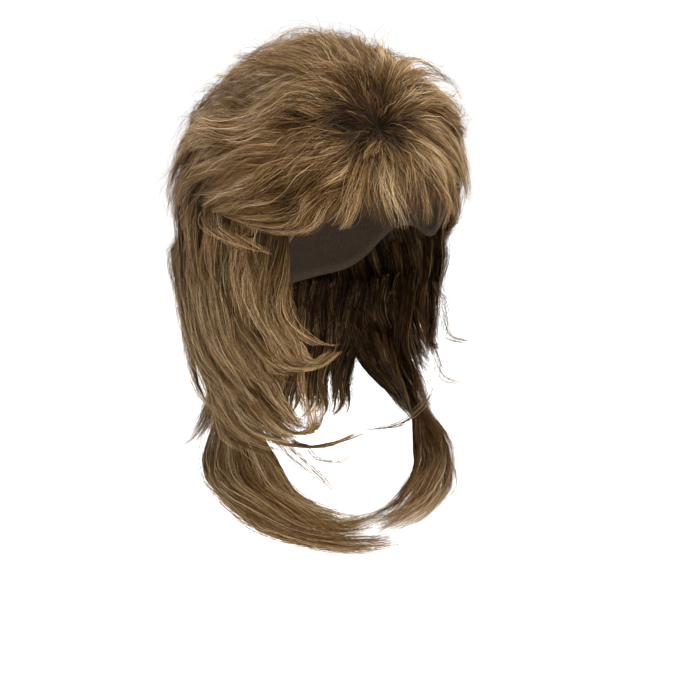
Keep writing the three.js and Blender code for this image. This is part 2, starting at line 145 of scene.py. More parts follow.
class Sheet:
    """A sheet of hair between two edge locks, whose rows run from the root to the tip.

    Around the whorl, a row is bearing, reach as a share of HEAD_LENGTH, lift as a share of LOFT.
    Around the head, it is turn, drop as a share of WIG_DROP, lift as a share of LOFT.
    """

    def __init__(self, around, edge, other_edge):
        self.around = around
        self.edges = np.array(edge, float), np.array(other_edge, float)

    def mirrored(self):
        flip = np.array([-1, 1, 1])
        return Sheet(self.around, self.edges[0] * flip, self.edges[1] * flip)

    def place(self, across, along):
        first, second = [along_curve(edge, along) for edge in self.edges]
        return first + (second - first) * across[..., None]

    def lift(self, across, along):
        return self.place(across, along)[..., 2] * LOFT

    def point(self, across, along, lift):
        angle, distance, _ = np.moveaxis(self.place(across, along), -1, 0)
        if self.around == "whorl":
            return from_whorl(angle, distance * HEAD_LENGTH, lift)
        return over_head(angle, distance * WIG_DROP, lift)

    def breadth(self, across, along):
        """The sheet's breadth, as it is near a point."""
        step = 0.01
        lift = self.lift(across, along)
        moved = self.point(across + step, along, lift) - self.point(across, along, lift)
        return np.maximum(np.linalg.norm(moved, axis=-1) / step, LEAST_BREADTH)


# How a sheet's hair is combed. Lengths in millimetres.
STYLE = {
    "locks": 60,
    "strands": 40,  # in each lock
    "steps": 11,  # along a strand
    "radius": 6.0,  # of a lock, sideways
    "depth": 3.0,  # of a lock, off the head
    "tip": 0.42,  # how far a lock closes towards its tip
    "layers": 0.55,  # the innermost locks' lift, as a share of the sheet's
    "beyond": 0.05,  # how far the outermost locks lie past the sheet's edges, as a share of its breadth
    "root_spread": 0.45,  # how far along the sheet locks are still rooted
    "ragged": 0.2,  # how much shorter locks can be
    "rise": 0.35,  # how far along a strand it has risen off the scalp
    "wave": 3.2,  # of locks, sideways
    "swell": 2.2,  # of locks, off the head
    "wave_length": 62.0,
    "drift": 5.0,  # of tips, sideways
    "flip": 5.0,  # of tips, off the head
    "twist": 1.6,  # of a lock's strands round each other, in radians
    "tufts": 7,  # in each lock
    "gather": 0.62,  # how far a tuft closes towards its tip
    "frizz": 1.3,  # of strands
    "stray": 0.05,  # the share of strands that stand away
    "stray_reach": 8.0,
    "width": 0.28,  # of a strand
    "tone": 0.0,  # lighter above 0; on the crown's top it is painted light, on the right side's waves painted shade
    "shade": 0.5,  # painted shade: how much darker the innermost locks are, and lighter the outermost
    "core": 0.6,  # the breadth of the core, a darker strip of painted shade under the strands, of the lock's; 0 for none
}
CORE_COLUMNS = 3

# A strand's tone runs from 0, dark, to 1, light
STRAND_TONE = 0.47
# Cores are darker than strands: painted shade deep inside a lock
CORE_SHADED_TONE = 0.36
TONE_BY_LOCK, TONE_BY_TUFT, TONE_BY_STRAND = 0.12, 0.13, 0.17  # how much tones differ
MIDDLE_LAYER = 0.62  # where a style's painted shade neither darkens nor lightens, from 0, innermost, to 1

# Painted shade where hair parts and its gaps lie deep: bearing from the whorl, reach as a share of
# HEAD_LENGTH, radius in millimetres, darkening
PAINTED_PARTING_SHADES = [
    (100, 0.03, 27, 0.75), (100, 0.14, 20, 0.6), (97, 0.27, 15, 0.45), (140, 0.12, 19, 0.4),
    (64, 0.41, 10, 0.6), (58, 0.32, 9, 0.5), (94, 0.67, 15, 0.5), (104, 0.5, 10, 0.35),
]
SHADE_LIFT = 0.35  # of LOFT, how high a shade lies at the whorl; it lies higher further out


def painted_parting_shade(points):
    """How much painted shade darkens hair where it parts and its gaps lie deep: round the whorl, beside
    it and between the side's waves.
    """
    shade = np.zeros(points.shape[:-1])
    for bearing, share, radius, most in PAINTED_PARTING_SHADES:
        lift = (SHADE_LIFT + share) * LOFT
        centre = from_whorl(np.array(float(bearing)), np.array(share * HEAD_LENGTH), np.array(lift))
        away = np.linalg.norm(points - centre, axis=-1) / (radius * MM)
        shade = np.maximum(shade, most * np.exp(-(away**2)))
    return shade


def comb(sheet, rng, **changes):
    """The strands of a sheet and the cores of its locks, darker strips of painted shade under the
    strands.
    """
    s = {**STYLE, **changes}
    locks, steps = s["locks"], s["steps"]
    t = np.linspace(0, 1, steps)[None, :]

    place = (np.arange(locks) + rng.uniform(0.1, 0.9, locks)) / locks
    place = place * (1 + 2 * s["beyond"]) - s["beyond"]
    layer = rng.random(locks) ** 0.75
    start = s["root_spread"] * rng.random(locks) ** 1.4
    end = 1 - s["ragged"] * rng.random(locks) ** 1.3
    size = rng.uniform(0.65, 1.3, locks)
    wave, swell = s["wave"] * rng.uniform(0.5, 1.1, locks), s["swell"] * rng.uniform(0.4, 1.1, locks)
    wave_phase = 5 * place + rng.normal(0, 0.7, locks)
    swell_phase = 7 * place + rng.normal(0, 0.6, locks)
    drift = s["drift"] * rng.normal(0, 0.5, locks)
    flip = s["flip"] * (rng.random(locks) ** 1.5 * 1.3 - 0.2)
    twist = s["twist"] * rng.normal(0, 0.7, locks)
    lock_tone = rng.normal(0, 1, locks)

    # A sheet's length, to give waves of one length all over it
    middle = np.linspace(0, 1, 20)
    line = sheet.point(np.full(20, 0.5), middle, sheet.lift(np.full(20, 0.5), middle))
    length = np.linalg.norm(np.diff(line, axis=0), axis=1).sum() / MM

    def lay(of, along, aside, off):
        """Points of strands: of which lock, where along the sheet, how far aside and off its middle."""
        def ride(values):
            return values[of][:, None]

        turns = 2 * np.pi * length / s["wave_length"]
        sway = ride(wave) * np.sin(turns * along + ride(wave_phase)) * smoothstep(t, 0.0, 0.35)
        heave = ride(swell) * np.sin(turns * 0.8 * along + ride(swell_phase)) * smoothstep(t, 0.0, 0.3)
        across = ride(place) + np.zeros_like(along)
        across = across + (aside + sway + ride(drift) * t**2.5) * MM / sheet.breadth(across, along)
        risen = smoothstep(t, 0.0, s["rise"])
        full = sheet.lift(across, along) * (s["layers"] + (1 - s["layers"]) * ride(layer))
        lift = SCALP + (full - SCALP) * risen + (off + heave + ride(flip) * t**4) * MM
        points = sheet.point(across, along, np.maximum(lift, SCALP))
        out = unit(sheet.point(across, along, lift + 1 * MM) - sheet.point(across, along, lift))
        return points, out

    def profile(at):
        """A lock's breadth along it: half at the root, full after a quarter, closing to the tip."""
        return (0.5 + 0.5 * smoothstep(at, 0.0, 0.25)) * (1 + (s["tip"] - 1) * smoothstep(at, 0.35, 1.0))

    count = locks * s["strands"]
    of = np.repeat(np.arange(locks), s["strands"])
    first = np.clip(start[of] + rng.normal(0, 0.02, count), 0, 0.9)[:, None]
    last = np.clip(end[of] - np.abs(rng.normal(0, 0.06, count)), 0.1, 1)[:, None]
    along = first + (last - first) * t
    tuft = of * s["tufts"] + rng.integers(0, s["tufts"], count)
    tuft_angle = rng.uniform(0, 2 * np.pi, locks * s["tufts"])[tuft]
    own_angle = rng.uniform(0, 2 * np.pi, count)
    tuft_radius = np.sqrt(rng.random(locks * s["tufts"]))[tuft]
    own_radius = np.sqrt(rng.random(count))
    tuft_tone = rng.normal(0, 1, locks * s["tufts"])[tuft]
    gather = s["gather"] * smoothstep(t, 0.1, 1.0)
    turning = twist[of][:, None] * t

    def within_lock(edge):
        """Where a strand is between its tuft's middle line and its own place in the lock."""
        own = own_radius[:, None] * edge(own_angle[:, None] + turning)
        return own + gather * (tuft_radius[:, None] * edge(tuft_angle[:, None] + turning) - own)

    # Some strands stray, half of them at the tip and half in an arch
    stray = ((rng.random(count) < s["stray"]) * s["stray_reach"] * rng.uniform(0.3, 1, count))[:, None]
    stray = stray * np.where(rng.random(count)[:, None] < 0.5, t**1.5, np.sin(np.pi * t**1.3))
    stray_angle = rng.uniform(0, 2 * np.pi, count)[:, None]
    fuzz_phase = rng.uniform(0, 2 * np.pi, (2, count, 1))
    fuzz_turns = rng.uniform(0.5, 2.1, (2, count, 1))
    fuzz = s["frizz"] * np.sin(2 * np.pi * fuzz_turns * t + fuzz_phase) * smoothstep(t, 0.0, 0.4)
    breadth = profile(t) * size[of][:, None]
    aside = s["radius"] * breadth * within_lock(np.cos) + fuzz[0] + stray * np.cos(stray_angle)
    off = s["depth"] * breadth * within_lock(np.sin) + fuzz[1] + np.abs(stray * np.sin(stray_angle))
    points, out = lay(of, along, aside, off * smoothstep(t, 0.0, 0.2))
    half = s["width"] / 2 * MM * (1 - 0.7 * smoothstep(t, 0.6, 1.0)) * rng.uniform(0.7, 1.25, (count, 1))
    # A lock's own tone at random, with painted shade that darkens the inner locks and lightens the outer
    # ones
    lock_tone_and_shade = s["tone"] + TONE_BY_LOCK * lock_tone + s["shade"] * (layer - MIDDLE_LAYER)
    own_tone = rng.normal(0, 1, count)
    tone = STRAND_TONE + lock_tone_and_shade[of] + TONE_BY_TUFT * tuft_tone + TONE_BY_STRAND * own_tone
    strands = {"points": points, "out": out, "half": half, "tone": tone[:, None] - painted_parting_shade(points)}
    if not s["core"]:
        return strands, None

    # A core is an arched strip under its lock's strands
    column = np.tile(np.linspace(-1, 1, CORE_COLUMNS), locks)
    of = np.repeat(np.arange(locks), CORE_COLUMNS)
    along = start[of][:, None] + (end[of] - start[of])[:, None] * t * 0.94
    spread = (profile(t) * (1 - 0.93 * smoothstep(t, 0.5, 1.0))) * size[of][:, None]
    aside = s["core"] * s["radius"] * column[:, None] * spread
    off = -s["depth"] * (0.25 + 0.6 * column[:, None] ** 2) * spread
    points = lay(of, along, aside, off)[0].reshape(locks, CORE_COLUMNS, steps, 3)
    cores = {
        "points": points,
        "tone": CORE_SHADED_TONE + lock_tone_and_shade[:, None, None] - painted_parting_shade(points),
        "breadth": s["core"] * s["radius"] * size,
        "length": length * (end - start),
    }
    return strands, cores


# The baking map has a cell for each strand and each core
STRAND_SHARE = 0.72  # of the map's height
STRAND_CELL, CORE_CELL = 32, 2  # how many cells stand side by side for each row of them
SIDE_MARGIN, END_MARGIN, CORE_MARGIN = 0.15, 0.04, 0.03  # of a cell
DARKEST, LIGHTEST = 0.01, 0.99  # the tones that a ramp still tells apart
STREAK_STEP = 7.3  # how far apart two cores read the streaks
ROLL, ROLL_CHANGE = 0.6, 0.5  # a ribbon's turn about its own line, and its change along it, in radians


def inset(share, margin):
    return margin + (1 - 2 * margin) * share


def corners_along(values):
    """Values at a strand's steps, for the four corners of each of its faces."""
    return np.stack([values[:, :-1], values[:, :-1], values[:, 1:], values[:, 1:]], -1)


def strand_mesh(groups, rng):
    """Flat ribbons, a ribbon to a strand, each turned a little about its own line."""
    total = sum(len(g["points"]) for g in groups)
    columns = int(math.ceil(math.sqrt(total * STRAND_CELL)))
    rows = int(math.ceil(total / columns))
    parts, base, number = [], 0, 0
    for g in groups:
        points, out = g["points"], g["out"]
        count, steps, _ = points.shape
        tangent = unit(np.gradient(points, axis=1))
        side = unit(np.cross(tangent, out))
        over = unit(np.cross(side, tangent))
        roll = rng.uniform(-ROLL, ROLL, (count, 1, 1))
        roll_change = rng.uniform(-ROLL_CHANGE, ROLL_CHANGE, (count, 1, 1))
        roll = roll + roll_change * np.linspace(-1, 1, steps)[:, None]
        reach = (side * np.cos(roll) + over * np.sin(roll)) * g["half"][..., None]
        vertices = np.stack([points - reach, points + reach], 2).reshape(-1, 3)
        step = np.arange(steps - 1)[None, :]
        corner = base + 2 * (np.arange(count)[:, None] * steps + step)
        faces = np.stack([corner, corner + 1, corner + 3, corner + 2], -1).reshape(-1, 4)
        base += count * steps * 2
        low = np.broadcast_to(step / (steps - 1), (count, steps - 1))
        t = np.stack([low, low, low + 1 / (steps - 1), low + 1 / (steps - 1)], -1)
        tone = corners_along(g["tone"])
        cell = number + np.arange(count)
        number += count
        left = ((cell % columns)[:, None, None] + inset(np.array([0, 1, 1, 0]), SIDE_MARGIN)) / columns
        bottom = ((cell // columns)[:, None, None] + inset(t, END_MARGIN)) / rows * STRAND_SHARE
        parts.append((
            vertices, faces,
            np.stack([np.clip(tone, DARKEST, LIGHTEST), t], -1).reshape(-1, 2),
            np.stack([np.broadcast_to(left, t.shape), bottom], -1).reshape(-1, 2),
        ))
    return [np.concatenate(column) for column in zip(*parts)]


def core_mesh(groups):
    """Arched strips, a strip to a lock."""
    total = sum(len(g["points"]) for g in groups)
    columns = int(math.ceil(math.sqrt(total * CORE_CELL)))
    rows = int(math.ceil(total / columns))
    parts, base, number = [], 0, 0
    for g in groups:
        points = g["points"]
        count, across, steps, _ = points.shape
        lock = np.arange(count)[:, None, None] * across * steps
        c = np.arange(across - 1)[None, :, None]
        k = np.arange(steps - 1)[None, None, :]
        corner = base + lock + c * steps + k
        faces = np.stack([corner, corner + steps, corner + steps + 1, corner + 1], -1).reshape(-1, 4)
        base += count * across * steps
        u = np.stack(np.broadcast_arrays(c, c + 1, c + 1, c), -1) / (across - 1)
        v = np.stack(np.broadcast_arrays(k, k, k + 1, k + 1), -1) / (steps - 1)
        u, v = np.broadcast_arrays(u, v)
        u, v = [np.broadcast_to(a, (count, across - 1, steps - 1, 4)) for a in (u, v)]
        near, far = g["tone"][:, :-1], g["tone"][:, 1:]
        tone = np.stack([near[..., :-1], far[..., :-1], far[..., 1:], near[..., 1:]], -1)
        cell = (number + np.arange(count))[:, None, None, None]
        number += count
        streak_u = u * g["breadth"][:, None, None, None] + cell * STREAK_STEP
        streak_v = v * g["length"][:, None, None, None]
        left = (cell % columns + inset(u, CORE_MARGIN)) / columns
        bottom = STRAND_SHARE + (1 - STRAND_SHARE) * (cell // columns + inset(v, CORE_MARGIN)) / rows
        parts.append((
            points.reshape(-1, 3), faces,
            np.stack([np.clip(tone, DARKEST, LIGHTEST), v], -1).reshape(-1, 2),
            np.stack([left, bottom], -1).reshape(-1, 2),
            np.stack([streak_u, streak_v], -1).reshape(-1, 2),
        ))
    return [np.concatenate(column) for column in zip(*parts)]


def hair_piece(name, sheets, rng, materials):
    """The strands and cores of some sheets as one mesh, with maps for their colours and for baking."""
    strands, cores = zip(*[comb(sheet, rng, **style) for sheet, style in sheets])
    points, faces, strand, bake = strand_mesh(strands, rng)
    cored = [core for core in cores if core]
    core_points, core_faces, core_strand, core_bake, core_streak = core_mesh(cored)
    all_points = np.concatenate([points, core_points])
    all_faces = np.concatenate([faces, core_faces + len(points)])
    piece = mesh_piece(name, all_points, all_faces, materials, {
        "strand": np.concatenate([strand, core_strand]),
        "streak": np.concatenate([np.zeros_like(strand), core_streak]),
        "OFBake": np.concatenate([bake, core_bake]),
    })
    slots = np.zeros(len(faces) + len(core_faces), np.int32)
    slots[len(faces):] = 1
    piece.data.polygons.foreach_set("material_index", slots)
    return piece


def mesh_piece(name, vertices, faces, materials, uv_maps):
    mesh = bpy.data.meshes.new(name)
    mesh.vertices.add(len(vertices))
    mesh.vertices.foreach_set("co", vertices.astype(np.float32).ravel())
    mesh.loops.add(faces.size)
    mesh.loops.foreach_set("vertex_index", faces.astype(np.int32).ravel())
    mesh.polygons.add(len(faces))
    mesh.polygons.foreach_set("loop_start", np.arange(0, faces.size, faces.shape[1], dtype=np.int32))
    mesh.update(calc_edges=True)
    mesh.polygons.foreach_set("use_smooth", np.ones(len(faces), bool))
    for uv_name, uv in uv_maps.items():
        mesh.uv_layers.new(name=uv_name).data.foreach_set("uv", uv.astype(np.float32).ravel())
    for material in materials:
        mesh.materials.append(material)
    piece = bpy.data.objects.new(name, mesh)
    bpy.context.collection.objects.link(piece)
    return piece


# Materials

def new_material(name):
    material = bpy.data.materials.new(name)
    material.use_nodes = True
    nodes = material.node_tree.nodes
    return material, nodes, material.node_tree.links, nodes["Principled BSDF"]


def ramp(nodes, stops):
    node = nodes.new("ShaderNodeValToRGB")
    elements = node.color_ramp.elements
    while len(elements) < len(stops):
        elements.new(0.5)
    for element, (position, colour) in zip(elements, stops):
        element.position = position
        element.color = (*colour, 1)
    return node


# Colours along the ramps
TONES = [
    (0.05, (0.018, 0.008, 0.002)), (0.35, (0.118, 0.058, 0.017)),
    (0.62, (0.252, 0.142, 0.053)), (0.95, (0.600, 0.440, 0.255)),
]
# Painted shade that darkens each strand near its root, deep under the hair; a little lighter at the tip
ROOT_SHADE_TO_TIP = [
    (0.0, (0.3, 0.27, 0.25)), (0.25, (0.85, 0.84, 0.83)), (0.6, (1, 1, 1)), (1.0, (1.1, 1.08, 1.05)),
]
# Streaks as fine as strands on a core; the ramp also darkens the whole core, as painted shade inside the
# lock
CORE_STREAKS_AND_SHADE = [(0.3, (0.1, 0.09, 0.08)), (0.7, (0.6, 0.58, 0.56))]
# The net's dark threads, darker still as painted shade where the cap's inside shows
NET_THREADS_AND_SHADE = [(0.1, (0.03, 0.018, 0.01)), (0.5, (0.075, 0.048, 0.03))]

STREAK_STRETCH = (2.2, 0.05, 1)  # streaks in a millimetre, across a core and along it
NET_MESHES = 900  # in a metre
STREAK_BUMP = 0.4 * MM
NET_BUMP = 0.3 * MM


def multiply(nodes, links, first, second):
    mix = nodes.new("ShaderNodeMix")
    mix.data_type = "RGBA"
    mix.blend_type = "MULTIPLY"
    mix.inputs["Factor"].default_value = 1
    links.new(first, mix.inputs["A"])
    links.new(second, mix.inputs["B"])
    return mix.outputs["Result"]


def hair_colour(nodes, links):
    """The strand map gives each strand's tone, and how far along it a point is, where painted shade
    darkens the root.
    """
    uv = nodes.new("ShaderNodeUVMap")
    uv.uv_map = "strand"
    split = nodes.new("ShaderNodeSeparateXYZ")
    links.new(uv.outputs["UV"], split.inputs[0])
    tone = ramp(nodes, TONES)
    links.new(split.outputs["X"], tone.inputs["Fac"])
    # Painted shade near the root of each strand
    along = ramp(nodes, ROOT_SHADE_TO_TIP)
    links.new(split.outputs["Y"], along.inputs["Fac"])
    return multiply(nodes, links, tone.outputs["Color"], along.outputs["Color"])


def strand_material():
    material, nodes, links, bsdf = new_material("hair")
    links.new(hair_colour(nodes, links), bsdf.inputs["Base Color"])
    bsdf.inputs["Roughness"].default_value = 0.45
    bsdf.inputs["Specular IOR Level"].default_value = 0.12
    bsdf.inputs["Specular Tint"].default_value = (1, 0.85, 0.7, 1)
    return material


def core_material():
    """The middle of a lock under its strands: darker, as painted shade inside the lock, with streaks as
    fine as strands along it.
    """
    material, nodes, links, bsdf = new_material("hair_core")
    uv = nodes.new("ShaderNodeUVMap")
    uv.uv_map = "streak"
    stretch = nodes.new("ShaderNodeMapping")
    stretch.inputs["Scale"].default_value = STREAK_STRETCH
    links.new(uv.outputs["UV"], stretch.inputs["Vector"])
    streaks = nodes.new("ShaderNodeTexNoise")
    streaks.inputs["Scale"].default_value = 1.0
    streaks.inputs["Detail"].default_value = 3
    links.new(stretch.outputs["Vector"], streaks.inputs["Vector"])
    shade = ramp(nodes, CORE_STREAKS_AND_SHADE)
    links.new(streaks.outputs["Fac"], shade.inputs["Fac"])
    colour = multiply(nodes, links, hair_colour(nodes, links), shade.outputs["Color"])
    links.new(colour, bsdf.inputs["Base Color"])
    bump = nodes.new("ShaderNodeBump")
    bump.inputs["Distance"].default_value = STREAK_BUMP
    links.new(streaks.outputs["Fac"], bump.inputs["Height"])
    links.new(bump.outputs["Normal"], bsdf.inputs["Normal"])
    bsdf.inputs["Roughness"].default_value = 0.6
    bsdf.inputs["Specular IOR Level"].default_value = 0.08
    return material


def net_material():
    """Fine stretch net: dark threads, made darker still as painted shade inside the cap."""
    material, nodes, links, bsdf = new_material("cap_net")
    place = nodes.new("ShaderNodeTexCoord")
    weave = nodes.new("ShaderNodeTexVoronoi")
    weave.inputs["Scale"].default_value = NET_MESHES
    links.new(place.outputs["Object"], weave.inputs["Vector"])
    colour = ramp(nodes, NET_THREADS_AND_SHADE)
    links.new(weave.outputs["Distance"], colour.inputs["Fac"])
    links.new(colour.outputs["Color"], bsdf.inputs["Base Color"])
    bump = nodes.new("ShaderNodeBump")
    bump.inputs["Distance"].default_value = NET_BUMP
    links.new(weave.outputs["Distance"], bump.inputs["Height"])
    links.new(bump.outputs["Normal"], bsdf.inputs["Normal"])
    bsdf.inputs["Roughness"].default_value = 0.85
    return material


# The sheets: those of the solids, and the finer ones over and under them

WHORL_ROOTS = Sheet("whorl",
    [[-180, 0.002, 0.08], [-180, 0.05, 0.22], [-180, 0.1, 0.42], [-180, 0.17, 0.6]],
    [[180, 0.002, 0.08], [180, 0.05, 0.22], [180, 0.1, 0.42], [180, 0.17, 0.6]])
CROWN_FRONT = Sheet("whorl",
    [[112, 0.01, 0.12], [106, 0.12, 0.55], [100, 0.25, 0.78], [98, 0.37, 0.8], [99, 0.49, 0.68]],
    [[232, 0.01, 0.12], [246, 0.12, 0.6], [256, 0.25, 0.76], [260, 0.37, 0.74], [259, 0.49, 0.62]])
CROWN_SWOOP = Sheet("whorl",
    [[126, 0.01, 0.12], [116, 0.12, 0.56], [106, 0.25, 0.74], [101, 0.39, 0.78], [98, 0.52, 0.76]],
    [[222, 0.01, 0.12], [204, 0.12, 0.6], [184, 0.25, 0.78], [164, 0.38, 0.82], [149, 0.5, 0.82]])
CROWN_MIDDLE = Sheet("whorl",
    [[98, 0.2, 0.35], [104, 0.36, 0.66], [110, 0.5, 0.75], [114, 0.61, 0.78], [117, 0.72, 0.78]],
    [[258, 0.2, 0.35], [252, 0.36, 0.7], [248, 0.5, 0.86], [245, 0.61, 0.88], [243, 0.72, 0.85]])
CROWN_BACK = Sheet("whorl",
    [[116, 0.44, 0.35], [121, 0.6, 0.7], [122, 0.72, 0.84], [121, 0.84, 0.85], [117, 0.95, 0.86]],
    [[242, 0.44, 0.35], [238, 0.6, 0.72], [237, 0.72, 0.88], [238, 0.84, 0.92], [241, 0.95, 0.98]])
CROWN_LOW = Sheet("head",
    [[82, 0.1, 0.4], [92, 0.17, 0.72], [101, 0.24, 0.84], [109, 0.31, 0.84], [116, 0.37, 0.86]],
    [[278, 0.1, 0.4], [268, 0.17, 0.72], [259, 0.24, 0.84], [251, 0.31, 0.84], [244, 0.37, 0.86]])
FRINGE = Sheet("whorl",
    [[-62, 0.01, 0.12], [-52, 0.12, 0.36], [-44, 0.22, 0.44], [-37, 0.3, 0.4], [-32, 0.36, 0.3]],
    [[66, 0.01, 0.12], [52, 0.12, 0.3], [41, 0.2, 0.35], [31, 0.27, 0.3], [24, 0.325, 0.22]])
FRINGE_LEFT = Sheet("whorl",
    [[-128, 0.01, 0.15], [-110, 0.14, 0.5], [-94, 0.28, 0.62], [-80, 0.4, 0.58], [-70, 0.5, 0.48]],
    [[-50, 0.01, 0.12], [-46, 0.12, 0.36], [-42, 0.23, 0.46], [-39, 0.33, 0.42], [-37, 0.4, 0.32]])
LEFT_TEMPLE = Sheet("whorl",
    [[-146, 0.03, 0.15], [-131, 0.14, 0.5], [-114, 0.28, 0.68], [-100, 0.42, 0.7], [-88, 0.56, 0.62]],
    [[-112, 0.02, 0.15], [-98, 0.14, 0.42], [-85, 0.27, 0.48], [-74, 0.39, 0.46], [-66, 0.5, 0.4]])
RIGHT_WAVES = Sheet("whorl",
    [[46, 0.04, 0.15], [42, 0.15, 0.3], [42, 0.26, 0.36],
     [48, 0.39, 0.46], [59, 0.5, 0.56], [73, 0.57, 0.66]],
    [[84, 0.04, 0.15], [84, 0.16, 0.45], [86, 0.3, 0.66],
     [90, 0.45, 0.76], [95, 0.61, 0.86], [99, 0.76, 0.8]])
RIGHT_TOP_WAVES = Sheet("whorl",
    [[66, 0.03, 0.15], [66, 0.14, 0.46], [70, 0.27, 0.66],
     [75, 0.4, 0.74], [80, 0.52, 0.8], [86, 0.64, 0.84]],
    [[122, 0.03, 0.15], [112, 0.14, 0.46], [106, 0.28, 0.7],
     [105, 0.42, 0.76], [108, 0.56, 0.79], [113, 0.68, 0.8]])
TEMPLE_WISPS = Sheet("whorl",
    [[46, 0.03, 0.15], [36, 0.14, 0.34], [30, 0.24, 0.42], [28, 0.32, 0.4], [30, 0.37, 0.36]],
    [[60, 0.03, 0.15], [50, 0.14, 0.36], [42, 0.24, 0.46], [41, 0.33, 0.5], [44, 0.41, 0.48]])
LEFT_WAVES = Sheet("head",
    [[-44, 0.23, 0.2], [-56, 0.28, 0.42], [-68, 0.34, 0.5], [-81, 0.39, 0.56], [-95, 0.43, 0.5]],
    [[-42, 0.1, 0.35], [-60, 0.12, 0.6], [-80, 0.17, 0.74], [-100, 0.24, 0.84], [-116, 0.32, 0.8]])
SHORT_LAYER = Sheet("head",
    [[134, 0.28, 0.6], [132, 0.4, 1.02], [125, 0.57, 0.96], [109, 0.7, 0.76], [88, 0.765, 0.7]],
    [[66, 0.32, 0.3], [67, 0.42, 0.42], [63, 0.53, 0.42], [52, 0.6, 0.45], [37, 0.61, 0.5]])
SIDE_BLEND = Sheet("head",
    [[117, 0.2, 0.7], [117, 0.28, 1.0], [117, 0.37, 1.09],
     [119, 0.46, 1.02], [114, 0.56, 0.94], [104, 0.66, 0.82]],
    [[74, 0.23, 0.4], [77, 0.3, 0.55], [77, 0.39, 0.5],
     [73, 0.49, 0.42], [64, 0.58, 0.38], [50, 0.64, 0.4]])
LONG_LAYER = Sheet("head",
    [[118, 0.5, 0.35], [119, 0.6, 0.6], [111, 0.7, 0.64], [90, 0.79, 0.62], [62, 0.83, 0.6]],
    [[82, 0.46, 0.2], [80, 0.55, 0.3], [71, 0.66, 0.36], [56, 0.73, 0.4], [38, 0.76, 0.42]])
BACK = Sheet("head",
    [[136, 0.27, 0.45], [134, 0.4, 0.92], [132, 0.52, 0.95], [132, 0.62, 0.86], [135, 0.69, 0.98]],
    [[224, 0.27, 0.45], [226, 0.4, 0.92], [228, 0.52, 0.95], [228, 0.62, 0.86], [225, 0.69, 0.98]])
NAPE = Sheet("head",
    [[114, 0.5, 0.2], [119, 0.62, 0.36], [124, 0.73, 0.5], [129, 0.81, 0.76], [133, 0.86, 1.2]],
    [[246, 0.5, 0.2], [241, 0.62, 0.36], [236, 0.73, 0.5], [231, 0.81, 0.76], [227, 0.86, 1.2]])
RIGHT_SWEEP = Sheet("head",
    [[92, 0.6, 0.1], [86, 0.7, 0.14], [74, 0.81, 0.28],
     [56, 0.89, 0.42], [33, 0.95, 0.45], [4, 0.94, 0.42]],
    [[126, 0.62, 0.25], [122, 0.76, 0.56], [104, 0.88, 0.76],
     [72, 0.95, 0.76], [38, 1.0, 0.68], [2, 1.0, 0.6]])
LEFT_SWEEP = Sheet("head",
    [[-90, 0.62, 0.1], [-72, 0.72, 0.12], [-47, 0.8, 0.18],
     [-22, 0.865, 0.32], [2, 0.92, 0.42], [27, 0.96, 0.48]],
    [[-124, 0.6, 0.2], [-105, 0.71, 0.66], [-76, 0.8, 0.92],
     [-45, 0.89, 0.9], [-14, 0.955, 0.76], [22, 1.0, 0.66]])


def wisp(spread, *rows, around="head"):
    """A narrow sheet, for a lock that goes its own way."""
    def edge(side):
        return [[turn + side * spread, distance, lift] for turn, distance, lift in rows]

    return Sheet(around, edge(1), edge(-1))


CROWN_PEAK = wisp(6, (125, 0.17, 0.75), (133, 0.26, 1.0), (134, 0.36, 1.13), (131, 0.42, 1.26),
                  (130, 0.48, 1.39),
                  around="whorl")
CROWN_LOOP = wisp(5, (155, 0.17, 0.8), (157, 0.26, 1.16), (152, 0.32, 1.32), (141, 0.35, 1.36),
                  (131, 0.4, 1.29),
                  around="whorl")
SIDE_PEAK = wisp(6, (106, 0.28, 0.75), (101, 0.37, 0.9), (103, 0.46, 1.0), (109, 0.54, 1.1),
                 (117, 0.62, 1.2),
                 around="whorl")
SIDE_LOOP = wisp(4, (96, 0.4, 0.75), (99, 0.47, 0.97), (107, 0.55, 1.06), (107, 0.6, 1.15),
                 (104, 0.64, 1.18),
                 around="whorl")
TEMPLE_PEAK = wisp(9, (-150, 0.04, 0.3), (-145, 0.13, 0.85), (-131, 0.22, 1.08), (-117, 0.24, 1.2),
                   (-101, 0.23, 1.2),
                   around="whorl")
EAR_WISPS = wisp(7, (94, 0.26, 0.6), (87, 0.31, 0.95), (79, 0.345, 0.95), (71, 0.365, 0.86),
                 (63, 0.37, 0.76))
CHEEK_WISPS = wisp(2, (64, 0.4, 0.4), (60, 0.47, 0.42), (55, 0.53, 0.44), (46, 0.565, 0.46),
                   (34, 0.572, 0.5))
CHEEK_FLICK = wisp(3, (86, 0.46, 0.6), (76, 0.55, 0.66), (61, 0.62, 0.55), (47, 0.625, 0.5),
                   (35, 0.58, 0.5))
JAW_FLICK = wisp(3, (84, 0.62, 0.6), (74, 0.7, 0.62), (60, 0.762, 0.48), (48, 0.77, 0.42),
                 (42, 0.75, 0.42), (42, 0.7, 0.46))
JAW_HANG = wisp(3, (53, 0.58, 0.24), (51, 0.64, 0.24), (49, 0.7, 0.24), (46, 0.75, 0.24))
JAW_TIPS = wisp(4, (78, 0.72, 0.52), (62, 0.785, 0.46), (46, 0.8, 0.4), (31, 0.79, 0.4), (18, 0.77, 0.44))
NECK_WISPS = wisp(4, (72, 0.74, 0.4), (58, 0.8, 0.42), (44, 0.85, 0.44), (34, 0.89, 0.45),
                  (27, 0.915, 0.45))
NECK_CURL = wisp(3, (56, 0.78, 0.4), (42, 0.825, 0.4), (28, 0.825, 0.42), (16, 0.775, 0.5))
SWEEP_FLICK = wisp(3, (58, 0.9, 0.45), (42, 0.945, 0.45), (30, 0.965, 0.42), (19, 0.94, 0.42))
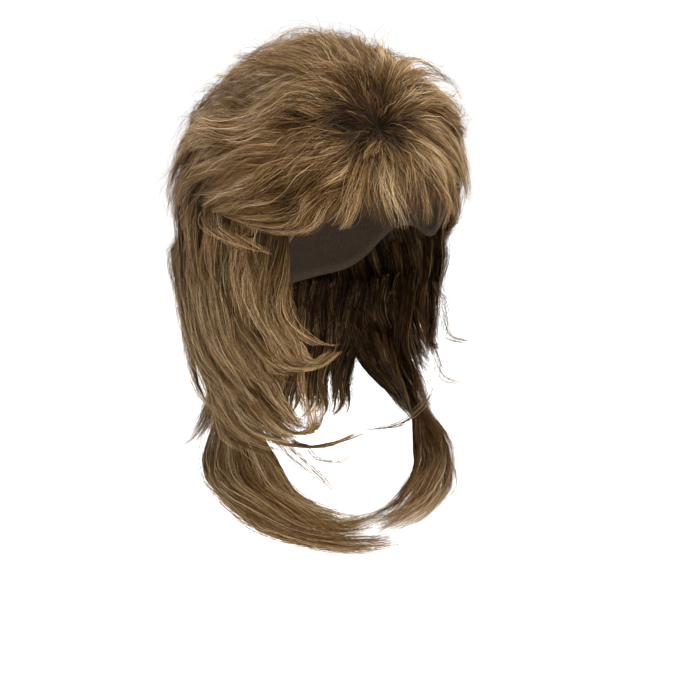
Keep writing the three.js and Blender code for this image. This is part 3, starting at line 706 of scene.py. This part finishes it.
FAR_CHEEK_WISPS = wisp(6, (-62, 0.46, 0.3), (-48, 0.53, 0.45), (-34, 0.58, 0.75), (-36, 0.6, 1.35))
FAR_JAW_WISPS = wisp(6, (-66, 0.54, 0.3), (-52, 0.62, 0.5), (-38, 0.675, 0.85), (-40, 0.7, 1.45))
FAR_FLICK = wisp(3, (-62, 0.6, 0.5), (-30, 0.7, 0.75), (-8, 0.75, 0.64), (4, 0.765, 0.5),
                 (19, 0.765, 0.45))

# Other ways to comb: locks that go their own way, the same with few strands, thin locks over a sheet,
# locks that stand out of the crown, and curled single strands
LOOSE = dict(strands=26, layers=0.9, beyond=0, rise=0.2, wave=1.2, drift=3, flip=1, tip=0.12,
             ragged=0.12, shade=0.15, core=0)
FEW = dict(LOOSE, locks=3, strands=8, radius=4, drift=8, tip=0.9, gather=0.2, root_spread=0.2)
OVER = dict(layers=0.92, core=0, wave=5, swell=2.5, drift=14, radius=4, strands=14, stray=0.15,
            stray_reach=9, frizz=1.8, shade=0.15, tone=0.04)
PEAK = dict(locks=4, strands=32, layers=1, beyond=0, rise=0.15, wave=2.5, flip=2, tip=0.35,
            ragged=0.15, root_spread=0.2, core=0, shade=0.1, tone=0.06)
CURLS = dict(locks=26, strands=7, steps=20, radius=5, layers=1.05, core=0, wave=5, wave_length=52,
             swell=5, drift=20, flip=13, tip=1.2, gather=0.25, frizz=1.8, stray=0.4, stray_reach=12,
             ragged=0.35, width=0.2, shade=0.1, tone=-0.03)

# The pieces of hair: name, the solid that each stands for, and its sheets with their style
PIECES = [
    ("crown_front_hair", "crown_waves", [
        (WHORL_ROOTS, dict(strands=18, steps=8, radius=4, root_spread=0.3, wave=1, drift=2, flip=0)),
        # tone 0.1 on these crown sheets is painted light on the top of the head
        (CROWN_FRONT, dict(locks=76, strands=34, root_spread=0.4, flip=7, wave=4, layers=0.6, tone=0.1)),
        (CROWN_SWOOP, dict(locks=44, strands=30, root_spread=0.25, wave=3, layers=0.85, ragged=0.35,
                           tone=0.1)),
        (CROWN_FRONT, dict(OVER, locks=14)),
        (CROWN_SWOOP, dict(OVER, locks=14)),
        (CROWN_FRONT, CURLS),
        (CROWN_SWOOP, dict(CURLS, locks=34, width=0.24)),
        (CROWN_PEAK, PEAK),
        (CROWN_LOOP, dict(PEAK, strands=10, radius=8, gather=0.2, tip=1, width=0.3)),
        (TEMPLE_PEAK, dict(PEAK, strands=20))]),
    ("crown_middle_hair", "crown_waves", [
        (CROWN_MIDDLE, dict(locks=80, strands=32, flip=9, wave=4, radius=7, swell=3)),
        (CROWN_MIDDLE, dict(OVER, locks=24, flip=11)),
        (CROWN_MIDDLE, dict(CURLS, locks=40))]),
    ("crown_back_hair", "crown_waves", [
        (CROWN_BACK, dict(locks=72, strands=30, flip=9, wave=4, radius=7, swell=3)),
        (CROWN_BACK, dict(OVER, locks=20, flip=11)),
        (CROWN_BACK, CURLS)]),
    ("crown_low_hair", "crown_waves", [
        (CROWN_LOW, dict(locks=92, strands=30, flip=6, wave=4, radius=7, root_spread=0.5, ragged=0.6)),
        (CROWN_LOW, dict(OVER, locks=20, flip=7)),
        (CROWN_LOW, CURLS)]),
    ("fringe_hair", "fringe", [
        (FRINGE, dict(locks=34, strands=18, depth=1.8, root_spread=0.15, core=0, drift=12, tip=1.3,
                      gather=0.25, ragged=0.65, width=0.19, tone=0.02)),
        (FRINGE_LEFT, dict(locks=34, strands=32, radius=5, depth=1.8, root_spread=0.3, core=0.3, flip=3,
                           ragged=0.45, width=0.22, tone=0.06)),
        (LEFT_TEMPLE, dict(locks=26, strands=26, radius=5, root_spread=0.3, core=0.4, flip=4,
                           ragged=0.3, tone=0.05))]),
    ("side_waves_hair_right", "side_waves_right", [
        # tone below 0 on the right side's waves is painted shade, where less light falls on the side
        (RIGHT_WAVES, dict(locks=64, strands=38, wave=5, root_spread=0.35, layers=0.6, swell=3.6,
                           ragged=0.4, drift=9, beyond=0.03, tone=-0.11)),
        (RIGHT_TOP_WAVES, dict(locks=50, strands=36, wave=5, root_spread=0.35, radius=6.5, layers=0.7,
                               flip=8, swell=3.4, tone=-0.08)),
        (RIGHT_WAVES, dict(OVER, swell=4, locks=24)),
        (RIGHT_TOP_WAVES, dict(CURLS, flip=8, drift=14, stray_reach=8)),
        (SIDE_PEAK, PEAK),
        (SIDE_LOOP, dict(PEAK, strands=12, gather=0.3, tip=1.1, width=0.3)),
        (TEMPLE_WISPS, dict(FEW, locks=9, strands=9)),
        (EAR_WISPS, dict(LOOSE, locks=9, strands=12, radius=5, tip=0.8, drift=8, gather=0.4,
                         ragged=0.5))]),
    ("side_waves_hair_left", "side_waves_left", [
        (LEFT_WAVES, dict(locks=64, strands=36, wave=4, beyond=0.12)),
        (LEFT_WAVES, dict(OVER, locks=16))]),
    ("side_layers_hair_right", "side_layers_right", [
        (SHORT_LAYER, dict(locks=58, strands=43, root_spread=0.25, layers=0.5, radius=7.5, depth=3.6,
                           tip=0.32)),
        (SIDE_BLEND, dict(locks=28, strands=42, root_spread=0.2, layers=0.5, rise=0.2, ragged=0.45,
                          radius=7, tip=0.3)),
        (LONG_LAYER, dict(locks=44, strands=32, root_spread=0.2)),
        (SHORT_LAYER, dict(OVER, locks=14)),
        (CHEEK_WISPS, dict(FEW, locks=4)),
        (CHEEK_FLICK, dict(LOOSE, locks=5, strands=44, ragged=0.05)),
        (JAW_FLICK, dict(LOOSE, locks=4, strands=40, ragged=0.03)),
        (JAW_HANG, dict(LOOSE, locks=2, strands=22, radius=3)),
        (JAW_TIPS, dict(LOOSE, locks=5, strands=30)),
        (NECK_WISPS, dict(FEW, locks=4, strands=6)),
        (NECK_CURL, dict(FEW, locks=2, strands=5))]),
    ("side_layers_hair_left", "side_layers_left", [
        (SHORT_LAYER.mirrored(), dict(locks=60, strands=32, root_spread=0.25, layers=0.55)),
        (SIDE_BLEND.mirrored(), dict(locks=36, strands=26, root_spread=0.2, layers=0.85, rise=0.2,
                                     ragged=0.45)),
        (LONG_LAYER.mirrored(), dict(locks=36, strands=28, root_spread=0.2)),
        (FAR_CHEEK_WISPS, dict(FEW, locks=5, width=0.34, tone=-0.1)),
        (FAR_JAW_WISPS, dict(FEW, locks=6, width=0.34, tone=-0.1)),
        (FAR_FLICK, dict(FEW, strands=7))]),
    ("back_hair", "back_layers", [
        (BACK, dict(locks=84, strands=34, root_spread=0.3)),
        (BACK, dict(OVER, locks=14))]),
    ("nape_hair", "nape_fall", [
        (NAPE, dict(locks=84, strands=30, root_spread=0.25, ragged=0.4, tip=0.7, tufts=9, gather=0.5,
                    drift=8))]),
    ("neck_sweep_hair_right", "neck_sweep_right", [
        (RIGHT_SWEEP, dict(locks=44, strands=42, steps=14, root_spread=0.2, flip=0, tip=0.7, ragged=0.4,
                           wave=1.8, tone=0.07)),
        (SWEEP_FLICK, dict(LOOSE, locks=3, strands=24))]),
    ("neck_sweep_hair_left", "neck_sweep_left", [
        (LEFT_SWEEP, dict(locks=46, strands=38, steps=14, root_spread=0.2, flip=0, tip=0.5, ragged=0.25,
                          wave=1.8))]),
]
FIRST_SEED = 100


def grow_hair():
    materials = [strand_material(), core_material()]
    for number, (name, node, sheets) in enumerate(PIECES):
        piece = hair_piece(name, sheets, np.random.default_rng(FIRST_SEED + number), materials)
        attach(piece, "root")
        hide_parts(node)


# The cap

def build_cap():
    columns, rows = 96, 30
    turn = np.arange(columns) * 360 / columns
    wrapped = np.abs((turn + 180) % 360 - 180)
    rim = np.interp(wrapped, CAP_RIM[:, 0], CAP_RIM[:, 1]) * WIG_DROP
    rim = np.mean([np.roll(rim, shift) for shift in range(-RIM_ROUNDING, RIM_ROUNDING + 1)], axis=0)
    share = np.arange(rows + 1) / rows
    depth = depth_at_angle(angle_at_depth(rim)[None, :] * share[:, None])
    turns = np.broadcast_to(turn, depth.shape)
    layers = [over_head(turns, depth, 0.0), over_head(turns, depth, CAP_WALL)]
    vertices = np.concatenate([layer.reshape(-1, 3) for layer in layers])

    def corner(layer, row, column):
        return (layer * (rows + 1) + row) * columns + column % columns

    faces = []
    for c in range(columns):
        d = c + 1
        for r in range(rows):
            faces.append([corner(0, r, c), corner(0, r + 1, c), corner(0, r + 1, d), corner(0, r, d)])
            faces.append([corner(1, r, c), corner(1, r, d), corner(1, r + 1, d), corner(1, r + 1, c)])
        faces.append([corner(0, rows, c), corner(1, rows, c), corner(1, rows, d), corner(0, rows, d)])
    cap = mesh_piece("cap_net", vertices, np.array(faces), [net_material()], {})
    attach(cap, "root")
    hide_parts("cap")


# The studio

AZIMUTH, ELEVATION = -40, 8
DISTANCE = 1.5
PIXEL = 0.72 * MM  # in the photo, at the head
PHOTO_WIDTH = 700
VIEW_CENTRE = Vector((0, 0, -0.150))  # what the photo's middle is set against
CENTRE_PIXEL = (328, 280)  # where it is in the photo
SENSOR = 36


def place_camera():
    azimuth, elevation = math.radians(AZIMUTH), math.radians(ELEVATION)
    back = Vector((
        math.sin(azimuth) * math.cos(elevation),
        -math.cos(azimuth) * math.cos(elevation),
        math.sin(elevation),
    ))
    right = Vector((math.cos(azimuth), math.sin(azimuth), 0))
    up = back.cross(right)
    middle = PHOTO_WIDTH / 2
    target = VIEW_CENTRE + PIXEL * (right * (middle - CENTRE_PIXEL[0]) - up * (middle - CENTRE_PIXEL[1]))
    camera = bpy.data.objects.new("camera", bpy.data.cameras.new("camera"))
    bpy.context.collection.objects.link(camera)
    camera.location = VIEW_CENTRE + back * DISTANCE
    camera.rotation_euler = (target - camera.location).to_track_quat("-Z", "Y").to_euler()
    camera.data.sensor_width = SENSOR
    camera.data.lens = SENSOR / 2 / (PHOTO_WIDTH / 2 * PIXEL / DISTANCE)
    bpy.context.scene.camera = camera


WORLD_LIGHT = 0.25
LIGHT_TARGET = (0, 0, -0.12)
# Name, place, breadth, power in watts
LIGHTS = [
    ("key", (0.6, -1.9, 1.2), 0.7, 50),
    ("side", (-1.8, -0.8, 0.8), 1.2, 7),
    ("top", (0.1, 0.0, 2.2), 0.7, 54),
    ("back", (-0.4, 1.9, 1.5), 0.8, 36),
]


def area_light(name, place, target, size, power):
    light = bpy.data.objects.new(name, bpy.data.lights.new(name, "AREA"))
    bpy.context.collection.objects.link(light)
    light.location = place
    light.rotation_euler = (Vector(target) - Vector(place)).to_track_quat("-Z", "Y").to_euler()
    light.data.size = size
    light.data.energy = power


def light_studio():
    scene = bpy.context.scene
    scene.view_settings.view_transform = "Standard"
    world = bpy.data.worlds.new("studio")
    world.use_nodes = True
    world.node_tree.nodes["Background"].inputs["Color"].default_value = (1, 1, 1, 1)
    world.node_tree.nodes["Background"].inputs["Strength"].default_value = WORLD_LIGHT
    scene.world = world
    for name, place, size, power in LIGHTS:
        area_light(name, place, LIGHT_TARGET, size, power)


FLOOR_DROP = 0.45
FLOOR_RADIUS = 4.0
COVE_RADIUS = 2.0
FLOOR_GREY = 0.6
FLOOR_GLOW = 0.72


def lay_floor():
    """A pale floor that curves up into a wall all round."""
    sides, bends, rings = 64, 10, [0, FLOOR_RADIUS]
    turn = np.arange(sides) * 2 * np.pi / sides
    bend = np.linspace(0, np.pi / 2, bends + 1)[1:]
    reach = np.concatenate([rings, FLOOR_RADIUS + COVE_RADIUS * np.sin(bend)])
    rise = np.concatenate([np.zeros(len(rings)), COVE_RADIUS * (1 - np.cos(bend))]) - FLOOR_DROP
    corners = np.stack(np.broadcast_arrays(
        reach[:, None] * np.cos(turn), reach[:, None] * np.sin(turn), rise[:, None]), -1).reshape(-1, 3)
    ring, side = np.meshgrid(np.arange(len(reach) - 1), np.arange(sides), indexing="ij")
    turned = (side + 1) % sides
    inner, outer = ring * sides, (ring + 1) * sides
    faces = np.stack([inner + side, outer + side, outer + turned, inner + turned], -1)
    material, _, _, bsdf = new_material("floor")
    bsdf.inputs["Base Color"].default_value = (FLOOR_GREY, FLOOR_GREY, FLOOR_GREY, 1)
    bsdf.inputs["Roughness"].default_value = 0.8
    bsdf.inputs["Emission Color"].default_value = (1, 1, 1, 1)
    bsdf.inputs["Emission Strength"].default_value = FLOOR_GLOW
    floor = mesh_piece("floor", corners, faces.reshape(-1, 4), [material], {})


grow_hair()
build_cap()
place_camera()
light_studio()
lay_floor()
